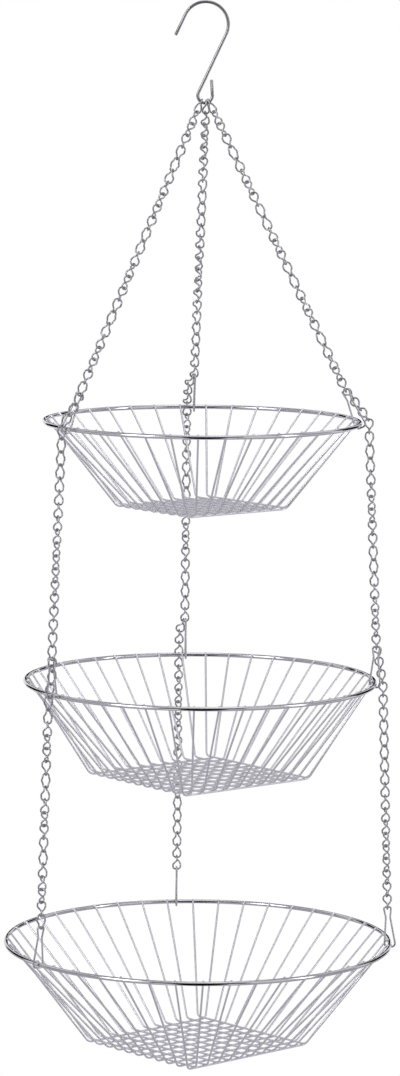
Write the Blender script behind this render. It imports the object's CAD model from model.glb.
# %% [markdown]
# A hanging fruit basket: three round wire baskets on three chains, under one S-shaped hook.
# Every part is steel wire that was bent, welded and then plated with bright chrome. So this lesson
# has one kind of shape, a round rod swept along a line, and one kind of finish, a mirror-like metal.
# The frame that is loaded here holds the bodies that move and the CAD nodes. All points are worked
# out in millimetres and turned to metres when a mesh is made.

# %% Load the frame
from math import acos, asin, atan2, cos, degrees, pi, radians, sin, sqrt, tan

import bpy
import numpy as np
from mathutils import Matrix, Vector


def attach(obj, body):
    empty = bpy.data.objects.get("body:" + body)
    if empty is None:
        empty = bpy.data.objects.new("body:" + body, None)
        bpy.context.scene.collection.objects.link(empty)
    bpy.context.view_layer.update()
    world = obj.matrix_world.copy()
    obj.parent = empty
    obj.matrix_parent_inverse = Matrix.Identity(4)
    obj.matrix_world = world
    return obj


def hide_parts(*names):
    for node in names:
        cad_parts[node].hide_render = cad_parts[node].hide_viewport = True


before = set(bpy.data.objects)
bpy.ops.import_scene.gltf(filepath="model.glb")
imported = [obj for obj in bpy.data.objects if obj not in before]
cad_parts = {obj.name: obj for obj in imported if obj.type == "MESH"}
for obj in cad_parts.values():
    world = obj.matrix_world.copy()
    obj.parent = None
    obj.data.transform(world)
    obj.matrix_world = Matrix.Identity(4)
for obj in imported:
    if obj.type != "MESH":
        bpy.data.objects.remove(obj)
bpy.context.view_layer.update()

# %% [markdown]
# Four small helpers are used all the way through. The first turns a colour as it is written on the
# web into the linear numbers that the renderer adds up. The second adds one shader node. The third
# makes a mesh object. The last makes one from several shapes, smooth-shaded, that rides on one body
# of the frame and takes the place of a CAD node.

# %% Helpers for colours, nodes and meshes
MM = 0.001


def linear(hex_colour):
    """An sRGB colour such as '#c4c5ca', as linear RGBA."""
    parts = [int(hex_colour[i:i + 2], 16) / 255 for i in (1, 3, 5)]
    return [c / 12.92 if c <= 0.04045 else ((c + 0.055) / 1.055) ** 2.4 for c in parts] + [1.0]


def add(tree, kind, inputs=None, **settings):
    """One node. An input is a plain value, or another node's output socket to link from."""
    new = tree.nodes.new(kind)
    for name, value in settings.items():
        setattr(new, name, value)
    for socket, value in (inputs or {}).items():
        if isinstance(value, bpy.types.NodeSocket):
            tree.links.new(value, new.inputs[socket])
        else:
            new.inputs[socket].default_value = value
    return new


def mesh_object(name, points, faces, material):
    """A mesh object in the scene, from points in metres."""
    mesh = bpy.data.meshes.new(name)
    mesh.from_pydata([tuple(p) for p in points], [], faces)
    mesh.materials.append(material)
    new = bpy.data.objects.new(name, mesh)
    bpy.context.scene.collection.objects.link(new)
    return new


def piece(name, shapes, material, body, node):
    """One smooth mesh object on a body, from a list of (points in mm, faces)."""
    points, faces = [], []
    for shape_points, shape_faces in shapes:
        faces += [[len(points) + i for i in face] for face in shape_faces]
        points += list(np.asarray(shape_points) * MM)
    new = mesh_object(name, points, faces, material)
    new.data.shade_smooth()
    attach(new, body)
    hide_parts(node)


# %% [markdown]
# Chrome plate is a film of chromium, a fraction of a thousandth of a millimetre thick, over polished
# nickel over steel. It reflects a little over half of the light and leans to blue. On drawn wire
# it isn't a perfect mirror. The thick rims are buffed before plating and come out the sharpest. The
# thin wires and the links are plated as they come, in a barrel or on a rack, and stay softer.
# Chromium's colour is about #c4c5c5, and a mirror finish has a roughness near 0.05. The rims come
# close to that. The rest is matched to the photograph: duller than a mirror, the hook and the links
# darker, the basket wires lighter.
# A metallic Principled shader does the mirror. A noise in the bump gives the slow waves of drawn
# and straightened wire, and a finer one the grit of polishing. A third noise, in the roughness,
# gives the film of handling that makes some places softer than others.

# %% Bright chrome plate
WAVE_MM = 7.0                 # size of the plating's soft waves
FILM_MM = 18.0                # size of the patches of handling film
GRIT_MM = 0.35                # polishing grit, drawn coarser than it is so that it shows at all
GRIT_DEPTH_MM = 0.01
NOISE_LOW, NOISE_HIGH = 0.35, 0.7        # the noise value where a patch of film starts and is full


def chrome(name, colour, clean, dull, wave_depth):
    """Bright chrome plate, with roughness between clean and dull, and waves wave_depth mm deep."""
    made = bpy.data.materials.new(name)
    made.use_nodes = True
    tree = made.node_tree
    shader = tree.nodes["Principled BSDF"]
    shader.inputs["Base Color"].default_value = linear(colour)
    shader.inputs["Metallic"].default_value = 1.0
    place = add(tree, "ShaderNodeTexCoord").outputs["Object"]
    film = add(tree, "ShaderNodeTexNoise",
               {"Vector": place, "Scale": 1 / (FILM_MM * MM), "Detail": 3.0})
    rough = add(tree, "ShaderNodeMapRange",
                {"Value": film.outputs["Fac"], "From Min": NOISE_LOW, "From Max": NOISE_HIGH,
                 "To Min": clean, "To Max": dull})
    tree.links.new(rough.outputs["Result"], shader.inputs["Roughness"])
    waves = add(tree, "ShaderNodeTexNoise",
                {"Vector": place, "Scale": 1 / (WAVE_MM * MM), "Detail": 1.0})
    grit = add(tree, "ShaderNodeTexNoise",
               {"Vector": place, "Scale": 1 / (GRIT_MM * MM), "Detail": 0.0})
    fine = add(tree, "ShaderNodeBump",
               {"Height": grit.outputs["Fac"], "Strength": 0.1, "Distance": GRIT_DEPTH_MM * MM})
    bump = add(tree, "ShaderNodeBump",
               {"Height": waves.outputs["Fac"], "Strength": 0.5, "Distance": wave_depth * MM,
                "Normal": fine.outputs["Normal"]})
    tree.links.new(bump.outputs["Normal"], shader.inputs["Normal"])
    print("made", name, "in", colour)
    return made


chrome_on_hook = chrome("chrome plate on the hook", "#98969b", 0.22, 0.32, 0.04)
chrome_on_rims = chrome("chrome plate on the rims", "#c4c2c8", 0.10, 0.18, 0.05)
chrome_on_wires = chrome("chrome plate on the basket wires", "#dad8df", 0.34, 0.46, 0.03)
chrome_on_hangers = chrome("chrome plate on the hangers", "#c2c0c6", 0.24, 0.34, 0.03)
chrome_on_links = chrome("chrome plate on the chain links", "#aeacb2", 0.30, 0.42, 0.03)

# %% [markdown]
# A rod is a circle carried along a line. The circle must not spin as it goes, or its faces twist, so
# each one starts from the last one's directions. Wire is cut to length and then tumbled, so a rod's
# free ends get a small rounding instead of a sharp edge.

# %% A round rod along a line
TIP_ROUNDING = 0.3            # of a rod's free ends, as a share of its radius
ODD_WAY = (0.31, 0.74, 0.6)   # a direction that no wire here starts in


def unit(v):
    return np.asarray(v, float) / np.linalg.norm(v)


def rod(line, diameter, sides=14):
    """Points and faces of a rod along a list of points."""
    line = np.asarray(line, float)
    ahead = np.diff(line, axis=0)
    ahead /= np.linalg.norm(ahead, axis=1)[:, None]
    tangents = np.vstack([ahead[:1], ahead[:-1] + ahead[1:], ahead[-1:]])
    tangents /= np.linalg.norm(tangents, axis=1)[:, None]
    side = unit(np.cross(tangents[0], ODD_WAY))
    radius = diameter / 2
    rings = []
    for centre, tangent in zip(line, tangents):
        side = unit(side - (side @ tangent) * tangent)
        rings.append((centre, tangent, side, radius))
    edge = TIP_ROUNDING * radius
    start, end = rings[0], rings[-1]
    rings[0] = (start[0] + edge * start[1],) + start[1:]
    rings[-1] = (end[0] - edge * end[1],) + end[1:]
    for lean in (pi / 4, pi / 2):
        in_from_tip, shrunk = edge * (1 - sin(lean)), radius - edge * (1 - cos(lean))
        rings.insert(0, (start[0] + in_from_tip * start[1], start[1], start[2], shrunk))
        rings.append((end[0] - in_from_tip * end[1], end[1], end[2], shrunk))
    around = [2 * pi * j / sides for j in range(sides)]
    points = [c + r * (cos(a) * s + sin(a) * np.cross(t, s)) for c, t, s, r in rings for a in around]
    faces = [tuple(range(sides - 1, -1, -1)), tuple(range(len(points) - sides, len(points)))]
    for i in range(0, len(points) - sides, sides):
        for j in range(sides):
            k = (j + 1) % sides
            faces.append((i + j, i + k, i + sides + k, i + sides + j))
    return points, faces


# %% [markdown]
# Wire is bent round pins, so every corner becomes an arc. The next two helpers turn a wire's corners
# into such a line, and turn finished points about the upright axis.

# %% Bending and turning
BEND_STEP = 9                 # degrees between two points of a bend


def bent(corners, radii):
    """The line of a wire through corners, each inner corner rounded to its radius."""
    corners = [np.asarray(c, float) for c in corners]
    line = [corners[0]]
    for before, corner, after, radius in zip(corners, corners[1:], corners[2:], radii):
        u, w = unit(before - corner), unit(after - corner)
        half = acos(np.clip(u @ w, -1, 1)) / 2
        centre = corner + unit(u + w) * radius / sin(half)
        x = unit(corner + u * radius / tan(half) - centre)
        y = corner + w * radius / tan(half) - centre
        across = unit(y - (y @ x) * x)
        turn = pi - 2 * half
        steps = max(2, round(degrees(turn) / BEND_STEP))
        for i in range(steps + 1):
            a = turn * i / steps
            line.append(centre + radius * (cos(a) * x + sin(a) * across))
    return line + [corners[-1]]


def turned(points, degrees_round):
    """Points turned about the upright axis."""
    c, s = cos(radians(degrees_round)), sin(radians(degrees_round))
    return np.asarray(points, float) @ np.array([[c, s, 0], [-s, c, 0], [0, 0, 1]])


# %% [markdown]
# These are the sizes that decide where the chains hang, in millimetres and degrees, the same as in
# the part's CAD source. Two links cross at a joint, and each one's wire passes half of the crossing
# beyond it. Above a rim the chain steps sideways, so that it passes beside its hanger: the hanger's
# two ends and the first of three short links share the round end of the link above them.

# %% Sizes of the hook, the links, the rims and the hangers
SIDES = ("left", "back", "right")
TIERS = ("top", "middle", "bottom")
CHAIN_ANGLE = (213, 94, -4)                   # direction of each chain seen from above
HOOK_WIRE, BEND_R, HOOK_TILT = 2.4, 17.3, 25  # its upper bend, and the lean of its shank
EYE_R, EYE_PLAY = 5.6, 0.18                   # its lower eye, and the first links' play there
PITCH, LINK_WIDTH, LINK_WIRE, PLAY = 9.9, 6.6, 1.4, 0.1
TOP_LINKS, RIM_LINKS, RUN_LINKS = 25, 3, 18   # above the top hanger, past a rim, between baskets
RIM_R, RIM_WIRE = (122, 136, 150.5), 3.3
CLEAR = 5.8                                   # distance at which a chain passes outside a rim's wire
HANGER_WIRE, REACH, LEAN = 1.5, 29, (24, -1.5, 4.5)     # height, and each tier's lean inwards
LAP, LAP_PLAY = 0.85, 0.25                    # how far each of the two stands from the middle of
                                              # the round end they share, and the short link's play
STEP_ROOM = 0.6                               # room for the step beside the hanger

crossing = LINK_WIRE + PLAY
ring_r = (LINK_WIDTH - LINK_WIRE) / 2         # a link's round end, to the middle of the wire
ring_in = ring_r - LINK_WIRE / 2
half_link = (PITCH + crossing) / 2 - ring_r   # from a link's middle to its round ends' centres
ring_back = ring_r - crossing / 2             # from a joint to the round end that reaches past it
side_step = ring_r + STEP_ROOM
lap_lean = asin(side_step / PITCH)
last_pin_drop = ring_in - HANGER_WIRE / 2 - PLAY
pin_drop = sqrt(last_pin_drop ** 2 - LAP ** 2)
lap_drop = sqrt((ring_in - LINK_WIRE / 2 - LAP_PLAY) ** 2 - LAP ** 2)
print("a link is", LINK_WIDTH, "mm wide and", round(PITCH + crossing + LINK_WIRE, 1), "mm long")

# %% [markdown]
# Each chain has a frame of its own, outwards, sideways and up, and is turned about the upright axis
# to its place. A loaded chain hangs straight, so the length of a stretch and the place of its lower
# end from the axis give its drop. From the eye downwards, each stretch starts where the last ended.

# %% Places from the eye down to the last rim
bend_centre_z = HOOK_WIRE / 2 - BEND_R
tilt = radians(HOOK_TILT)
shank = (BEND_R + EYE_R) / tan(tilt)
eye_z = bend_centre_z - (BEND_R + EYE_R) * sin(tilt) - shank * cos(tilt)
eye_offset = ring_in - HOOK_WIRE / 2 - EYE_PLAY - ring_back

step = [t * (side_step + LAP + crossing / 2 * sin(lap_lean)) for t in range(3)]
pin_side = [step[0] - LAP, step[1] - LAP, step[2]]
rim_out = [sqrt(RIM_R[t] ** 2 - pin_side[t] ** 2) for t in range(3)]
hold_out = [rim_out[t] - REACH * sin(radians(LEAN[t])) for t in range(3)]
hold, rim_z, pivot, lap_point, lap_dir, down_dir, run_dir = [], [], [], [], [], [], []
start = np.array([0, 0, eye_z - EYE_R])
for t in range(3):
    drop = last_pin_drop if t == 2 else pin_drop
    length = (eye_offset + TOP_LINKS * PITCH if t == 0 else RUN_LINKS * PITCH) - ring_back + drop
    z = start[2] - sqrt(length ** 2 - (hold_out[t] - start[0]) ** 2)
    hold.append(np.array([hold_out[t], step[t], z]))
    rim_z.append(z - REACH * cos(radians(LEAN[t])))
    run_dir.append(unit(hold[t] - [start[0], step[t], start[2]]))
    slope = asin((RIM_R[t] + CLEAR - hold_out[t]) / ((RIM_LINKS - 1 + cos(lap_lean)) * PITCH))
    down_dir.append(np.array([sin(slope), 0, -cos(slope)]))
    lap_dir.append(down_dir[t] * cos(lap_lean) + [0, sin(lap_lean), 0])
    lap_point.append(hold[t] + [0, LAP, 0] + (lap_drop - pin_drop) * run_dir[t]
                     + crossing / 2 * lap_dir[t])
    pivot.append(lap_point[t] + PITCH * (lap_dir[t] + (RIM_LINKS - 1) * down_dir[t])
                 + crossing / 2 * (down_dir[t] + [0, 0, 1]))
    start = pivot[t]
print("rims at", [round(z, 1) for z in rim_z], "mm")

# %% [markdown]
# The hook is one length of thicker wire, bent cold in two directions: a wide open bend that goes
# over the rail, a straight shank, and a small eye that carries all three chains. Its free end
# runs back up beside the shank. One rod along one line of arcs and straights is all it takes. The
# line is drawn with an upright shank first and then leant back as a whole.

# %% The S-shaped hook
TIP, EYE_SWEEP, EYE_TAIL = 17.2, 212, 11.5    # straight tip, turn of the eye, its straight free end
ARC_STEP = 6                                  # degrees between two points of an arc


def arc(centre, radius, first, last):
    """Points on an arc in the upright plane of the hook, with angles from +X towards +Z."""
    steps = max(2, round(abs(last - first) / ARC_STEP))
    angles = [radians(first + (last - first) * i / steps) for i in range(steps + 1)]
    return [[centre[0] + radius * cos(a), 0, centre[1] + radius * sin(a)] for a in angles]


hook_line = [[-BEND_R, 0, -TIP]] + arc((0, 0), BEND_R, 180, 0)
eye_arc = arc((BEND_R + EYE_R, -shank), EYE_R, 180, 180 + EYE_SWEEP)
tail_way = unit(np.subtract(eye_arc[-1], eye_arc[-2]))
hook_line += eye_arc + [list(eye_arc[-1] + EYE_TAIL * tail_way)]
lean_back = np.array([[cos(tilt), 0, -sin(tilt)], [0, 1, 0], [sin(tilt), 0, cos(tilt)]])
hook_line = np.asarray(hook_line) @ lean_back + [0, 0, bend_centre_z]
piece("s_hook_wire", [rod(hook_line, HOOK_WIRE, sides=20)], chrome_on_hook, "hook", "s_hook")
print("the hook takes", round(np.linalg.norm(np.diff(hook_line, axis=0), axis=1).sum()), "mm of wire")

# %% [markdown]
# The rims are rings of the thickest wire. The CAD torus has just that shape, so it stays, and only
# gets the chrome.

# %% The three rims
for t, tier in enumerate(TIERS):
    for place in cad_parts[f"{tier}_rim"].material_slots:
        place.material = chrome_on_rims
    print(tier, "rim:", 2 * RIM_R[t] + RIM_WIRE, "mm across")

# %% [markdown]
# When wires are spot-welded, they are pressed together and a current melts them into each other
# where they cross. That leaves a small bead of metal in each corner. A flattened ball there, nearly
# swallowed by the two wires, gives that bead.

# %% A bead of weld metal
FLOOR_BEAD = (0.85, 0.85, 0.42)               # half its size along, across and through the wires
RIM_BEAD = (1.5, 0.85, 0.5)                   # along the wire, along the rim, and between the two
RIM_BEAD_OUT = 0.02                           # its middle stands this far off the rim's surface


def ball(centre, axes, rows=6, columns=10):
    """A ball with its three half axes given as vectors."""
    centre = np.asarray(centre, float)
    a, b, c = (np.asarray(axis, float) for axis in axes)
    points = [centre + c]
    for i in range(1, rows):
        lat = pi * i / rows
        points += [centre + cos(lat) * c + sin(lat) * (cos(lon) * a + sin(lon) * b)
                   for lon in (2 * pi * j / columns for j in range(columns))]
    points.append(centre - c)
    faces = [(0, 1 + j, 1 + (j + 1) % columns) for j in range(columns)]
    for i in range(rows - 2):
        one, two = 1 + i * columns, 1 + (i + 1) * columns
        faces += [(one + j, two + j, two + (j + 1) % columns, one + (j + 1) % columns)
                  for j in range(columns)]
    last, tip = 1 + (rows - 2) * columns, len(points) - 1
    faces += [(last + (j + 1) % columns, last + j, tip) for j in range(columns)]
    return points, faces


# %% [markdown]
# A basket's floor and sides are the same wires: each one runs up one side, across the floor and up
# the far side, and is welded to the inside of the rim. One set lies over the other at a right
# angle. The wires stand parallel on the floor and fan out evenly to the rim.

# %% Baskets of crossing wires
WIRE, WIRE_COUNT, FLOOR_SIDE, DEPTH = 1.55, (9, 11, 11), (88, 116, 116), (67, 75.5, 82)
BASKET_TURN = (-6, -5.5, -2)                  # turn of each basket about the upright axis
SIDE_BEND = 6                                 # radius of the bend from the floor to the side
BEND_ROOM, BEND_LEAD = 1.2, 0.55              # the corner lies this room, and this share of the
                                              # radius, outside the floor's last crossing wire
END_OVER, WELD_GAP = 0.3, 0.05                # wire past the weld, and the gap that the bead fills
MIRROR = np.array([-1, 1, 1])


def wire_end(t, corner, angle):
    """Where a side wire touches the inside of the rim, and where it ends."""
    out = np.array([cos(angle), sin(angle), 0])
    reach = RIM_R[t] - corner @ out
    gap = (RIM_WIRE + WIRE) / 2 + WELD_GAP
    rise = atan2(-corner[2], reach) + asin(gap / sqrt(reach ** 2 + corner[2] ** 2))
    touch = (RIM_R[t] - gap * sin(rise)) * out + [0, 0, gap * cos(rise)]
    return touch, touch + END_OVER * unit(touch - corner), out


def rim_bead(along, rim_centre, touch):
    """The bead between the rim and a wire that runs along it and touches it there."""
    between = unit(touch - rim_centre)
    ways = (along, unit(np.cross(along, between)), between)
    return ball(rim_centre + between * (RIM_WIRE / 2 + RIM_BEAD_OUT),
                [half * way for half, way in zip(RIM_BEAD, ways)])


for t, tier in enumerate(TIERS):
    count = WIRE_COUNT[t]
    floor_step = FLOOR_SIDE[t] / (count - 1)
    from_middle = [i - (count - 1) / 2 for i in range(count)]
    corner_x = FLOOR_SIDE[t] / 2 + BEND_ROOM + SIDE_BEND * BEND_LEAD
    for layer, name in enumerate(("below", "above")):
        shapes = []
        height = layer * (WIRE + WELD_GAP) - DEPTH[t]
        for k in from_middle:
            corner = np.array([corner_x, k * floor_step, height])
            touch, end, out = wire_end(t, corner, radians(k * 90 / count))
            line = bent([MIRROR * end, MIRROR * corner, corner, end], [SIDE_BEND, SIDE_BEND])
            shapes.append(rod(line, WIRE))
            for m in (np.array([1, 1, 1]), MIRROR):
                shapes.append(rim_bead(unit(m * (end - corner)), m * RIM_R[t] * out, m * touch))
            if layer:
                shapes += [ball([j * floor_step, corner[1], height - (WIRE + WELD_GAP) / 2],
                                np.diag(FLOOR_BEAD)) for j in from_middle]
        turn = 45 + 90 * layer + BASKET_TURN[t]
        shapes = [(turned(points, turn) + [0, 0, rim_z[t]], faces) for points, faces in shapes]
        piece(f"{tier}_floor_wires_{name}", shapes, chrome_on_wires, f"{tier}_basket",
              f"{tier}_wires_{name}")
    print(tier, "basket:", 2 * count, "wires")

# %% [markdown]
# A hanger is a closed clip of wire. It is wide where it goes round under the rim, so that it can't
# tip, and pinched at the neck; its two ends turn in and meet inside a link of the chain. It is bent
# on a wire-forming machine, so its corners are neat arcs.

# %% The nine hangers
END_X, TOP_X, NECK_X, BASE_X = 0.25, 3.0, 1.7, 4.5      # half widths, from the ends down to the base
NECK_DROP, BASE_ROOM = 8.2, 0.4                         # below the top, and play under the rim
HANGER_BENDS = (1.4, 6, 2.8)                            # radii at the top, the neck and the base

base_drop = (RIM_WIRE + HANGER_WIRE) / 2 + BASE_ROOM
right_half = [(END_X, REACH), (TOP_X, REACH), (NECK_X, REACH - NECK_DROP), (BASE_X, -base_drop)]
hanger_corners = [[x, 0, z] for x, z in right_half] + [[-x, 0, z] for x, z in reversed(right_half)]
hanger_line = bent(hanger_corners, HANGER_BENDS + HANGER_BENDS[::-1])
for t, tier in enumerate(TIERS):
    lean = radians(LEAN[t])
    lean_in = np.array([[cos(lean), 0, sin(lean)], [0, 1, 0], [-sin(lean), 0, cos(lean)]])
    line = np.asarray(hanger_line) @ lean_in + [rim_out[t], pin_side[t], rim_z[t]]
    for k, side in enumerate(SIDES):
        wire = rod(turned(line, CHAIN_ANGLE[k]), HANGER_WIRE, sides=16)
        piece(f"{tier}_{side}_hanger_wire", [wire], chrome_on_hangers, f"{tier}_basket",
              f"{tier}_hanger_{side}")
print("hangers:", len(TIERS) * len(SIDES), "each", REACH + base_drop, "mm high")

# %% [markdown]
# The chain is twisted-link chain: each oval link is turned a quarter about its own length, so that
# the chain lies flat instead of standing on edge every second link. A link is one length of wire.
# Its two round ends stand a quarter turn apart, and its legs wind from one to the other as if round
# a bar as thick as the link is wide. The wire's two ends meet in the middle of one leg and are only
# butted together, which leaves a fine seam there. The real links look a little broader than the
# CAD's, so their legs are drawn half a millimetre farther out. Only the three in the hook's eye keep
# the CAD's form, with legs that take the short way, because they hang close side by side.

# %% One twisted link
SEAM = 0.12                   # gap between the wire's two ends
BROADER = 0.5                 # how much farther out the drawn legs run than in the CAD
HALF_TWIST = pi / 4           # turn of each round end away from the middle of the link
ARC_STEPS, LEG_STEPS = 12, 10


def link_line(leg_r, wound):
    """The line of a link about the origin, along Z, from its seam all the way round and back."""
    bow = HALF_TWIST / 2
    line = []
    for end in (1, -1):
        across = np.array([cos(end * HALF_TWIST), sin(end * HALF_TWIST), 0])
        for a in (pi * i / ARC_STEPS for i in range(ARC_STEPS + 1)):
            line.append(across * leg_r * cos(a) * end + [0, 0, end * (half_link + ring_r * sin(a))])
        for s in (i / LEG_STEPS for i in range(1, LEG_STEPS)):
            wind = HALF_TWIST * (1 - 2 * (s * s * (3 - 2 * s) if wound else s))
            r = leg_r if wound else leg_r * cos(bow) / cos(abs(wind) - bow)
            line.append([-end * r * cos(wind), -r * sin(wind), end * half_link * (1 - 2 * s)])
    line = np.roll(np.array(line), LEG_STEPS // 2, axis=0)
    line = np.vstack([line, line[:1]])
    line[0] += SEAM / 2 * unit(line[1] - line[0])
    line[-1] -= SEAM / 2 * unit(line[-1] - line[-2])
    return line


LINK_LINE = link_line(ring_r + BROADER, wound=True)
EYE_LINK_LINE = link_line(ring_r, wound=False)
print("drawn links are", LINK_WIDTH + 2 * BROADER, "mm wide")

# %% [markdown]
# A link hangs from its upper joint along the chain's direction. Its other two axes are the way out
# from the basket's middle and the way along the rim, both at a right angle to the chain. The link
# may be turned about its own length.

# %% Placing a link
def out_axis(d):
    return unit(np.array([1, 0, 0]) - d[0] * d)


def side_axis(d):
    return np.cross(-d, out_axis(d))


def link_at(p, d, turn, chain, shape=LINK_LINE):
    """A link that hangs from p along d in a chain's frame, turned about its own length."""
    c, s = cos(radians(turn) - HALF_TWIST), sin(radians(turn) - HALF_TWIST)
    local = shape @ np.array([[c, s, 0], [-s, c, 0], [0, 0, 1]]) - [0, 0, PITCH / 2]
    line = local @ np.array([out_axis(d), side_axis(d), -d]) + p
    return rod(turned(line, CHAIN_ANGLE[chain]), LINK_WIRE, sides=10)


# %% [markdown]
# Each chain goes from the hook to the first basket's hanger, steps aside to pass outside the rim,
# and goes on to the next basket. No chain hangs quite straight: each link turns a little further
# than the one above, and over a stretch that adds up to a few half turns. The first and last links
# of the lower stretches bend the chain when a basket swings, so they are pieces of their own.

# %% Three chains
FIRST_LINK_X = (-3.0, 0.8, 3.2)                     # where each chain's first link sits in the eye
HALF_TURNS = ((4, 2, 4), (1, 2, 2), (3, 1, 1))      # of the left, back and right chain above each rim


def top_stretch(k):
    """Start, direction, turn and pitch of the stretch that hangs from the eye."""
    x = FIRST_LINK_X[k]
    angle = radians(CHAIN_ANGLE[k])
    seat = np.array([x * cos(angle), -x * sin(angle), eye_z - sqrt(EYE_R ** 2 - x ** 2)])
    d = unit(hold[0] - seat)
    across = np.array([sin(angle), cos(angle), 0])
    turn = degrees(atan2(across @ side_axis(d), across @ out_axis(d)))
    turn += -180 if turn > 90 else 180 if turn <= -90 else 0
    top = seat + eye_offset * d
    return top, d, turn, (np.linalg.norm(hold[0] - top) - pin_drop + ring_back) / TOP_LINKS


for k, side in enumerate(SIDES):
    top, d, turn, pitch = top_stretch(k)
    turns = np.linspace(turn, 180 * HALF_TURNS[0][k], TOP_LINKS)
    links = [link_at(top + i * pitch * d, d, turns[i], k, LINK_LINE if i else EYE_LINK_LINE)
             for i in range(TOP_LINKS)]
    piece(f"top_{side}_chain_links", links, chrome_on_links, "top_basket", f"top_chain_{side}")
    for t in (0, 1):
        links = [link_at(lap_point[t], lap_dir[t], 0, k)]
        links += [link_at(lap_point[t] + PITCH * (lap_dir[t] + i * down_dir[t]), down_dir[t], 0, k)
                  for i in range(RIM_LINKS - 1)]
        piece(f"{TIERS[t]}_{side}_rim_links", links, chrome_on_links, f"{TIERS[t]}_basket",
              f"{TIERS[t]}_rim_chain_{side}")
    for t in (1, 2):
        turns = np.linspace(0, 180 * HALF_TURNS[t][k], RUN_LINKS)
        run = [link_at(pivot[t - 1] + i * PITCH * run_dir[t], run_dir[t], turns[i], k)
               for i in range(RUN_LINKS)]
        for part, links in (("lead", run[:1]), ("run", run[1:-1]), ("end", run[-1:])):
            node = f"{TIERS[t]}_chain_{side}" if part == "run" else f"{TIERS[t]}_{part}_link_{side}"
            piece(f"{TIERS[t]}_{side}_{part}_links", links, chrome_on_links,
                  f"{TIERS[t]}_{part}_{side}", node)
print("links in one chain:", TOP_LINKS + 2 * RIM_LINKS + 2 * RUN_LINKS)

# %% [markdown]
# Chrome shows its surroundings and nothing else, so most of its look is made from here on. The world
# is white to the camera and in reflections, and gives soft light. The floor is white to both too,
# far below the object, and would take its shadow.

# %% A white world and floor
FLOOR_Z, FLOOR_HALF = -1.25, 6                # metres


def matte(name, colour):
    """Dull paint or card in one colour."""
    made = bpy.data.materials.new(name)
    made.use_nodes = True
    shader = made.node_tree.nodes["Principled BSDF"]
    shader.inputs["Base Color"].default_value = linear(colour)
    shader.inputs["Roughness"].default_value = 0.9
    return made


world = bpy.data.worlds.new("soft white studio")
bpy.context.scene.world = world
world.use_nodes = True
tree = world.node_tree
tree.nodes.clear()
path = add(tree, "ShaderNodeLightPath")
seen = add(tree, "ShaderNodeMath", {0: path.outputs["Is Camera Ray"], 1: path.outputs["Is Glossy Ray"]},
           operation="MAXIMUM")
seen = add(tree, "ShaderNodeMath", {0: seen.outputs[0], 1: path.outputs["Is Transmission Ray"]},
           operation="MAXIMUM")
backdrop = add(tree, "ShaderNodeBackground", {"Color": linear("#ffffff"), "Strength": 1.0})
fill = add(tree, "ShaderNodeBackground", {"Color": linear("#ffffff"), "Strength": 0.8})
mixed = add(tree, "ShaderNodeMixShader",
            {0: seen.outputs[0], 1: fill.outputs[0], 2: backdrop.outputs[0]})
add(tree, "ShaderNodeOutputWorld", {"Surface": mixed.outputs[0]})

floor_paint = matte("white studio floor", "#f2f2f2")
tree = floor_paint.node_tree
path = add(tree, "ShaderNodeLightPath")
seen = add(tree, "ShaderNodeMath", {0: path.outputs["Is Camera Ray"], 1: path.outputs["Is Glossy Ray"]},
           operation="MAXIMUM")
glow = add(tree, "ShaderNodeEmission", {"Color": linear("#ffffff"), "Strength": 1.0})
mixed = add(tree, "ShaderNodeMixShader",
            {0: seen.outputs[0], 1: tree.nodes["Principled BSDF"].outputs[0], 2: glow.outputs[0]})
tree.links.new(mixed.outputs[0], tree.nodes["Material Output"].inputs["Surface"])
floor_corners = [(x * FLOOR_HALF, y * FLOOR_HALF, FLOOR_Z)
                 for x, y in ((-1, -1), (1, -1), (1, 1), (-1, 1))]
new = mesh_object("studio_floor", floor_corners, [(0, 1, 2, 3)], floor_paint)
print("floor at", FLOOR_Z, "m")

# %% [markdown]
# Under an all-white tent chrome would vanish. A photographer hangs cards outside the picture. Grey
# ones at the sides, above and below keep the wires a middle grey. Black ones in front and behind
# give the rims their dark streaks, just where a ring turns from one side to the other. The cards
# are seen only in reflections and cast no shadow.

# %% Cards for the chrome to reflect
CARD_R, CARD_FOOT = 4.6, -3.5                 # metres
CARD_STEPS = 24
dark_card = matte("black card", "#0e0e10")
grey_card = matte("grey card", "#c0bfc4")
for shade in (dark_card, grey_card):          # dull card has no shine of its own
    shade.node_tree.nodes["Principled BSDF"].inputs["Specular IOR Level"].default_value = 0.0


def only_reflected(name, points, faces, material):
    """A card that only the chrome sees."""
    new = mesh_object(name, points, faces, material)
    new.visible_camera = new.visible_diffuse = new.visible_shadow = False


def card(name, first, last, top, material):
    """A curved card round the object, from one bearing to another."""
    points = [(CARD_R * cos(a), CARD_R * sin(a), z)
              for a in np.radians(np.linspace(first, last, CARD_STEPS + 1)) for z in (CARD_FOOT, top)]
    faces = [(2 * i, 2 * i + 2, 2 * i + 3, 2 * i + 1) for i in range(CARD_STEPS)]
    only_reflected(name, points, faces, material)


def flat_card(name, first, last, height, radius, material):
    """A flat card below or above the object: the part of a disc from one bearing to another."""
    bearings = np.radians(np.linspace(first, last, CARD_STEPS * 3 // 2 + 1))
    points = [(0, 0, height)] + [(radius * cos(a), radius * sin(a), height) for a in bearings]
    only_reflected(name, points, [(0, i, i + 1) for i in range(1, len(bearings))], material)


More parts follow.
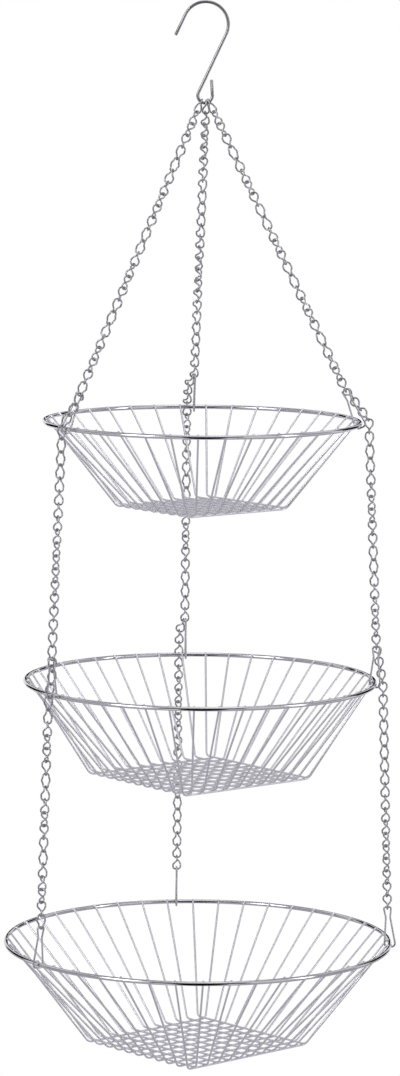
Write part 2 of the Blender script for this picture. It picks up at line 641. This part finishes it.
card("dark_card_front", -117, -60, 2.2, dark_card)
card("grey_card_left", 165, 215, 2.5, grey_card)
card("grey_card_right", -35, 15, 2.5, grey_card)
card("dark_card_back", 80, 98, 2.5, dark_card)
card("dark_card_back_left", 118, 150, 2.5, dark_card)
card("dark_card_back_right", 30, 62, 2.5, dark_card)
flat_card("grey_card_below_left", 100, 245, FLOOR_Z + 0.01, 1.9, grey_card)
flat_card("grey_card_below_right", -65, 80, FLOOR_Z + 0.01, 1.9, grey_card)
flat_card("dark_card_below_front", -103, -72, FLOOR_Z + 0.02, 4.4, dark_card)
flat_card("grey_card_above", 0, 360, 2.9, 3.2, grey_card)

# %% [markdown]
# Three soft boxes light it: a large one in front on the left, a narrow one on the right for the long
# bright streak down the chains, and one above for the tops of the rims.

# %% Soft boxes
MIDDLE = (0, 0, -0.42)        # of the object, in metres


def soft_box(name, place, width, height, watts):
    """An area lamp that faces the middle of the object."""
    light = bpy.data.lights.new(name, "AREA")
    light.shape = "RECTANGLE"
    light.size, light.size_y, light.energy = width, height, watts
    new = bpy.data.objects.new(name, light)
    new.location = place
    new.rotation_euler = (Vector(MIDDLE) - Vector(place)).to_track_quat("-Z", "Y").to_euler()
    bpy.context.scene.collection.objects.link(new)
    print(name, "gives", watts, "W")


soft_box("soft_box_left", (-2.2, -2.0, 0.9), 1.2, 1.6, 34)
soft_box("soft_box_right", (2.6, -1.2, 0.2), 0.5, 2.0, 14)
soft_box("soft_box_above", (0.2, 0.3, 2.2), 1.4, 1.4, 12)

# %% [markdown]
# The camera stands over three metres away and looks slightly down. Its numbers come from the
# places of the rims, the floors and the hook in the photograph.

# %% The camera
CAMERA_MM = (24.9, -3379, 9.1)
YAW, DOWN, ROLL = 0.439, 7.10, 0.492          # degrees
FOCAL_PX, FRAME_HEIGHT_PX, SENSOR_MM = 4390, 1076, 24

camera_data = bpy.data.cameras.new("camera")
camera = bpy.data.objects.new("camera", camera_data)
bpy.context.scene.collection.objects.link(camera)
bpy.context.scene.camera = camera
camera_data.sensor_fit = "VERTICAL"
camera_data.sensor_height = SENSOR_MM
camera_data.lens = FOCAL_PX / FRAME_HEIGHT_PX * SENSOR_MM
camera_data.clip_end = 50
camera.location = [c * MM for c in CAMERA_MM]
camera.rotation_mode = "QUATERNION"
facing = Matrix.Rotation(radians(YAW), 4, "Z") @ Matrix.Rotation(radians(90 - DOWN), 4, "X")
camera.rotation_quaternion = (facing @ Matrix.Rotation(radians(ROLL), 4, "Z")).to_quaternion()
bpy.context.scene.view_settings.view_transform = "Standard"
print("lens:", round(camera_data.lens, 1), "mm on a sensor", SENSOR_MM, "mm high")
